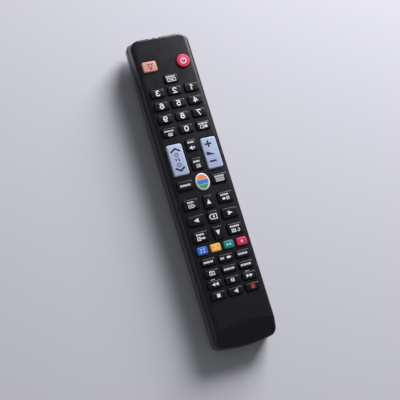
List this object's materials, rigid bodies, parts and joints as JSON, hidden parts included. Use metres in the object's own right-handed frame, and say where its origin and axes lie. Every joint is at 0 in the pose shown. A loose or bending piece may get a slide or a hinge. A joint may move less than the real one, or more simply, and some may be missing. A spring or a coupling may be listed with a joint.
{
  "type": "universal remote control",
  "caption": "Slim handheld infrared remote with sprung rubber keys, rocker keys and a sliding battery door.",
  "frame": {"origin": "middle of the footprint, on the surface that the flat back rests on", "axes": "+Y towards the infrared end, +Z out of the key face, +X to the right as pictured"},
  "size_m": [0.0464, 0.233, 0.0239],
  "materials": {
    "housing_plastic": "moulded charcoal ABS, fine satin texture",
    "key_rubber": "moulded black silicone with a soft satin coat",
    "rocker_cap": "pale lavender-blue translucent cap, satin",
    "peach_cap": "peach translucent cap, satin",
    "crimson_cap": "crimson cap, satin",
    "hub_cap": "white cap with a coloured print under a clear coat",
    "blue_cap": "blue cap, satin",
    "amber_cap": "amber cap, satin",
    "green_cap": "teal green cap, satin",
    "red_cap": "crimson cap, satin",
    "silicone_sheet": "moulded grey-black silicone sheet",
    "board_laminate": "glass-epoxy board under green solder resist",
    "component_body": "moulded epoxy packages",
    "backlight_resin": "pale cast resin",
    "infrared_resin": "smoke-violet cast epoxy",
    "cell_sleeve": "steel can in a plain sleeve; aluminium is nearest its mean density",
    "contact_nickel": "nickel-plated strip",
    "contact_bronze": "bent phosphor bronze strip",
    "screw_steel": "zinc-plated steel"
  },
  "bodies": {
    "housing": {"backlight_diodes": "backlight_resin", "battery_left": "cell_sleeve", "battery_right": "cell_sleeve", "board_components": "component_body", "circuit_board": "board_laminate", "contact_leaves": "contact_bronze", "contact_plates": "contact_nickel", "front_housing": "housing_plastic", "housing_screws": "screw_steel", "infrared_diodes": "infrared_resin", "keypad_sheet": "silicone_sheet", "rear_housing": "housing_plastic"},
    "key_0": {"key_0": "key_rubber"},
    "key_1": {"key_1": "key_rubber"},
    "key_2": {"key_2": "key_rubber"},
    "key_3": {"key_3": "key_rubber"},
    "key_4": {"key_4": "key_rubber"},
    "key_5": {"key_5": "key_rubber"},
    "key_6": {"key_6": "key_rubber"},
    "key_7": {"key_7": "key_rubber"},
    "key_8": {"key_8": "key_rubber"},
    "key_9": {"key_9": "key_rubber"},
    "key_amber": {"key_amber": "amber_cap"},
    "key_blue": {"key_blue": "blue_cap"},
    "key_camera": {"key_camera": "key_rubber"},
    "key_caption": {"key_caption": "key_rubber"},
    "key_down": {"key_down": "key_rubber"},
    "key_enter": {"key_enter": "key_rubber"},
    "key_exit": {"key_exit": "key_rubber"},
    "key_family": {"key_family": "key_rubber"},
    "key_forward": {"key_forward": "key_rubber"},
    "key_green": {"key_green": "green_cap"},
    "key_guide": {"key_guide": "key_rubber"},
    "key_hub": {"key_hub": "hub_cap"},
    "key_info": {"key_info": "key_rubber"},
    "key_last": {"key_last": "key_rubber"},
    "key_left": {"key_left": "key_rubber"},
    "key_light": {"key_light": "peach_cap"},
    "key_list": {"key_list": "key_rubber"},
    "key_menu": {"key_menu": "key_rubber"},
    "key_mute": {"key_mute": "key_rubber"},
    "key_pause": {"key_pause": "key_rubber"},
    "key_picture": {"key_picture": "key_rubber"},
    "key_play": {"key_play": "key_rubber"},
    "key_power": {"key_power": "crimson_cap"},
    "key_record": {"key_record": "key_rubber"},
    "key_red": {"key_red": "red_cap"},
    "key_return": {"key_return": "key_rubber"},
    "key_rewind": {"key_rewind": "key_rubber"},
    "key_right": {"key_right": "key_rubber"},
    "key_screen": {"key_screen": "key_rubber"},
    "key_search": {"key_search": "key_rubber"},
    "key_source": {"key_source": "key_rubber"},
    "key_stop": {"key_stop": "key_rubber"},
    "key_text": {"key_text": "key_rubber"},
    "key_tools": {"key_tools": "key_rubber"},
    "key_up": {"key_up": "key_rubber"},
    "rocker_channel": {"rocker_channel": "rocker_cap"},
    "rocker_volume": {"rocker_volume": "rocker_cap"},
    "battery_door": {"battery_door": "housing_plastic"}
  },
  "joints": [
    {"name": "key_0_press", "type": "slide", "parent": "housing", "child": "key_0", "axis": [0, 0, 1], "range_m": [-0.0009, 0], "stiffness_N_per_m": 800, "springref_m": 0.0002},
    {"name": "key_1_press", "type": "slide", "parent": "housing", "child": "key_1", "axis": [0, 0, 1], "range_m": [-0.0009, 0], "stiffness_N_per_m": 800, "springref_m": 0.0002},
    {"name": "key_2_press", "type": "slide", "parent": "housing", "child": "key_2", "axis": [0, 0, 1], "range_m": [-0.0009, 0], "stiffness_N_per_m": 800, "springref_m": 0.0002},
    {"name": "key_3_press", "type": "slide", "parent": "housing", "child": "key_3", "axis": [0, 0, 1], "range_m": [-0.0009, 0], "stiffness_N_per_m": 800, "springref_m": 0.0002},
    {"name": "key_4_press", "type": "slide", "parent": "housing", "child": "key_4", "axis": [0, 0, 1], "range_m": [-0.0009, 0], "stiffness_N_per_m": 800, "springref_m": 0.0002},
    {"name": "key_5_press", "type": "slide", "parent": "housing", "child": "key_5", "axis": [0, 0, 1], "range_m": [-0.0009, 0], "stiffness_N_per_m": 800, "springref_m": 0.0002},
    {"name": "key_6_press", "type": "slide", "parent": "housing", "child": "key_6", "axis": [0, 0, 1], "range_m": [-0.0009, 0], "stiffness_N_per_m": 800, "springref_m": 0.0002},
    {"name": "key_7_press", "type": "slide", "parent": "housing", "child": "key_7", "axis": [0, 0, 1], "range_m": [-0.0009, 0], "stiffness_N_per_m": 800, "springref_m": 0.0002},
    {"name": "key_8_press", "type": "slide", "parent": "housing", "child": "key_8", "axis": [0, 0, 1], "range_m": [-0.0009, 0], "stiffness_N_per_m": 800, "springref_m": 0.0002},
    {"name": "key_9_press", "type": "slide", "parent": "housing", "child": "key_9", "axis": [0, 0, 1], "range_m": [-0.0009, 0], "stiffness_N_per_m": 800, "springref_m": 0.0002},
    {"name": "key_amber_press", "type": "slide", "parent": "housing", "child": "key_amber", "axis": [0, 0, 1], "range_m": [-0.0009, 0], "stiffness_N_per_m": 800, "springref_m": 0.0002},
    {"name": "key_blue_press", "type": "slide", "parent": "housing", "child": "key_blue", "axis": [0, 0, 1], "range_m": [-0.0009, 0], "stiffness_N_per_m": 800, "springref_m": 0.0002},
    {"name": "key_camera_press", "type": "slide", "parent": "housing", "child": "key_camera", "axis": [0, 0, 1], "range_m": [-0.0009, 0], "stiffness_N_per_m": 800, "springref_m": 0.0002},
    {"name": "key_caption_press", "type": "slide", "parent": "housing", "child": "key_caption", "axis": [0, 0, 1], "range_m": [-0.0009, 0], "stiffness_N_per_m": 800, "springref_m": 0.0002},
    {"name": "key_down_press", "type": "slide", "parent": "housing", "child": "key_down", "axis": [0, 0, 1], "range_m": [-0.0009, 0], "stiffness_N_per_m": 800, "springref_m": 0.0002},
    {"name": "key_enter_press", "type": "slide", "parent": "housing", "child": "key_enter", "axis": [0, 0, 1], "range_m": [-0.0009, 0], "stiffness_N_per_m": 800, "springref_m": 0.0002},
    {"name": "key_exit_press", "type": "slide", "parent": "housing", "child": "key_exit", "axis": [0, 0, 1], "range_m": [-0.0009, 0], "stiffness_N_per_m": 800, "springref_m": 0.0002},
    {"name": "key_family_press", "type": "slide", "parent": "housing", "child": "key_family", "axis": [0, 0, 1], "range_m": [-0.0009, 0], "stiffness_N_per_m": 800, "springref_m": 0.0002},
    {"name": "key_forward_press", "type": "slide", "parent": "housing", "child": "key_forward", "axis": [0, 0, 1], "range_m": [-0.0009, 0], "stiffness_N_per_m": 800, "springref_m": 0.0002},
    {"name": "key_green_press", "type": "slide", "parent": "housing", "child": "key_green", "axis": [0, 0, 1], "range_m": [-0.0009, 0], "stiffness_N_per_m": 800, "springref_m": 0.0002},
    {"name": "key_guide_press", "type": "slide", "parent": "housing", "child": "key_guide", "axis": [0, 0, 1], "range_m": [-0.0009, 0], "stiffness_N_per_m": 800, "springref_m": 0.0002},
    {"name": "key_hub_press", "type": "slide", "parent": "housing", "child": "key_hub", "axis": [0, 0, 1], "range_m": [-0.0009, 0], "stiffness_N_per_m": 800, "springref_m": 0.0002},
    {"name": "key_info_press", "type": "slide", "parent": "housing", "child": "key_info", "axis": [0, 0, 1], "range_m": [-0.0009, 0], "stiffness_N_per_m": 800, "springref_m": 0.0002},
    {"name": "key_last_press", "type": "slide", "parent": "housing", "child": "key_last", "axis": [0, 0, 1], "range_m": [-0.0009, 0], "stiffness_N_per_m": 800, "springref_m": 0.0002},
    {"name": "key_left_press", "type": "slide", "parent": "housing", "child": "key_left", "axis": [0, 0, 1], "range_m": [-0.0009, 0], "stiffness_N_per_m": 800, "springref_m": 0.0002},
    {"name": "key_light_press", "type": "slide", "parent": "housing", "child": "key_light", "axis": [0, 0, 1], "range_m": [-0.0009, 0], "stiffness_N_per_m": 800, "springref_m": 0.0002},
    {"name": "key_list_press", "type": "slide", "parent": "housing", "child": "key_list", "axis": [0, 0, 1], "range_m": [-0.0009, 0], "stiffness_N_per_m": 800, "springref_m": 0.0002},
    {"name": "key_menu_press", "type": "slide", "parent": "housing", "child": "key_menu", "axis": [0, 0, 1], "range_m": [-0.0009, 0], "stiffness_N_per_m": 800, "springref_m": 0.0002},
    {"name": "key_mute_press", "type": "slide", "parent": "housing", "child": "key_mute", "axis": [0, 0, 1], "range_m": [-0.0009, 0], "stiffness_N_per_m": 800, "springref_m": 0.0002},
    {"name": "key_pause_press", "type": "slide", "parent": "housing", "child": "key_pause", "axis": [0, 0, 1], "range_m": [-0.0009, 0], "stiffness_N_per_m": 800, "springref_m": 0.0002},
    {"name": "key_picture_press", "type": "slide", "parent": "housing", "child": "key_picture", "axis": [0, 0, 1], "range_m": [-0.0009, 0], "stiffness_N_per_m": 800, "springref_m": 0.0002},
    {"name": "key_play_press", "type": "slide", "parent": "housing", "child": "key_play", "axis": [0, 0, 1], "range_m": [-0.0009, 0], "stiffness_N_per_m": 800, "springref_m": 0.0002},
    {"name": "key_power_press", "type": "slide", "parent": "housing", "child": "key_power", "axis": [0, 0, 1], "range_m": [-0.0009, 0], "stiffness_N_per_m": 800, "springref_m": 0.0002},
    {"name": "key_record_press", "type": "slide", "parent": "housing", "child": "key_record", "axis": [0, 0, 1], "range_m": [-0.0009, 0], "stiffness_N_per_m": 800, "springref_m": 0.0002},
    {"name": "key_red_press", "type": "slide", "parent": "housing", "child": "key_red", "axis": [0, 0, 1], "range_m": [-0.0009, 0], "stiffness_N_per_m": 800, "springref_m": 0.0002},
    {"name": "key_return_press", "type": "slide", "parent": "housing", "child": "key_return", "axis": [0, 0, 1], "range_m": [-0.0009, 0], "stiffness_N_per_m": 800, "springref_m": 0.0002},
    {"name": "key_rewind_press", "type": "slide", "parent": "housing", "child": "key_rewind", "axis": [0, 0, 1], "range_m": [-0.0009, 0], "stiffness_N_per_m": 800, "springref_m": 0.0002},
    {"name": "key_right_press", "type": "slide", "parent": "housing", "child": "key_right", "axis": [0, 0, 1], "range_m": [-0.0009, 0], "stiffness_N_per_m": 800, "springref_m": 0.0002},
    {"name": "key_screen_press", "type": "slide", "parent": "housing", "child": "key_screen", "axis": [0, 0, 1], "range_m": [-0.0009, 0], "stiffness_N_per_m": 800, "springref_m": 0.0002},
    {"name": "key_search_press", "type": "slide", "parent": "housing", "child": "key_search", "axis": [0, 0, 1], "range_m": [-0.0009, 0], "stiffness_N_per_m": 800, "springref_m": 0.0002},
    {"name": "key_source_press", "type": "slide", "parent": "housing", "child": "key_source", "axis": [0, 0, 1], "range_m": [-0.0009, 0], "stiffness_N_per_m": 800, "springref_m": 0.0002},
    {"name": "key_stop_press", "type": "slide", "parent": "housing", "child": "key_stop", "axis": [0, 0, 1], "range_m": [-0.0009, 0], "stiffness_N_per_m": 800, "springref_m": 0.0002},
    {"name": "key_text_press", "type": "slide", "parent": "housing", "child": "key_text", "axis": [0, 0, 1], "range_m": [-0.0009, 0], "stiffness_N_per_m": 800, "springref_m": 0.0002},
    {"name": "key_tools_press", "type": "slide", "parent": "housing", "child": "key_tools", "axis": [0, 0, 1], "range_m": [-0.0009, 0], "stiffness_N_per_m": 800, "springref_m": 0.0002},
    {"name": "key_up_press", "type": "slide", "parent": "housing", "child": "key_up", "axis": [0, 0, 1], "range_m": [-0.0009, 0], "stiffness_N_per_m": 800, "springref_m": 0.0002},
    {"name": "rocker_channel_tilt", "type": "hinge", "parent": "housing", "child": "rocker_channel", "pos_m": [-0.013, 0.02151, 0.0184], "axis": [1, 0, 0], "range_deg": [-2.5, 2.5], "stiffness_Nm_per_rad": 0.17},
    {"name": "rocker_volume_tilt", "type": "hinge", "parent": "housing", "child": "rocker_volume", "pos_m": [0.013, 0.02151, 0.0184], "axis": [1, 0, 0], "range_deg": [-2.5, 2.5], "stiffness_Nm_per_rad": 0.17},
    {"name": "battery_door_slide", "type": "slide", "parent": "housing", "child": "battery_door", "axis": [0, -1, 0], "range_m": [0, 0.07]}
  ]
}
